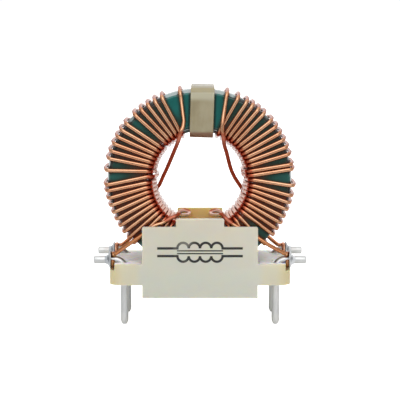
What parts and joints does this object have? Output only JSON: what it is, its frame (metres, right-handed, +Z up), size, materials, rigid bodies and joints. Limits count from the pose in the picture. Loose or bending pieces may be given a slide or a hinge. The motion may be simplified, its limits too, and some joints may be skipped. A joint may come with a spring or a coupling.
{
  "type": "toroidal inductor",
  "caption": "Toroidal inductor: a coated ring core on edge with two bare wire windings, a spacer clip and a moulded through-hole header with bent pins.",
  "frame": {"origin": "middle of the pin pattern, on the board's top face under the header's feet", "axes": "+X along the header towards the right-hand pins, -Y towards the front plate, +Z up from the board"},
  "size_m": [0.0304, 0.0152, 0.0342],
  "materials": {
    "core_coating": "glossy teal-green epoxy over ferrite",
    "copper_wire": "clear enamelled copper, glossy",
    "clip_nylon": "translucent natural nylon, satin",
    "header_plastic": "ivory moulded plastic, satin",
    "tinned_pin": "bright tin plate",
    "solder": "bright solder, slightly uneven"
  },
  "bodies": {
    "root": {"core": "core_coating", "winding_left": "copper_wire", "winding_right": "copper_wire", "spacer_clip": "clip_nylon", "header": "header_plastic", "terminal_pin_front_left": "tinned_pin", "terminal_pin_front_right": "tinned_pin", "terminal_pin_rear_left": "tinned_pin", "terminal_pin_rear_right": "tinned_pin", "solder_joint_front_left": "solder", "solder_joint_front_right": "solder", "solder_joint_rear_left": "solder", "solder_joint_rear_right": "solder"}
  },
  "joints": []
}
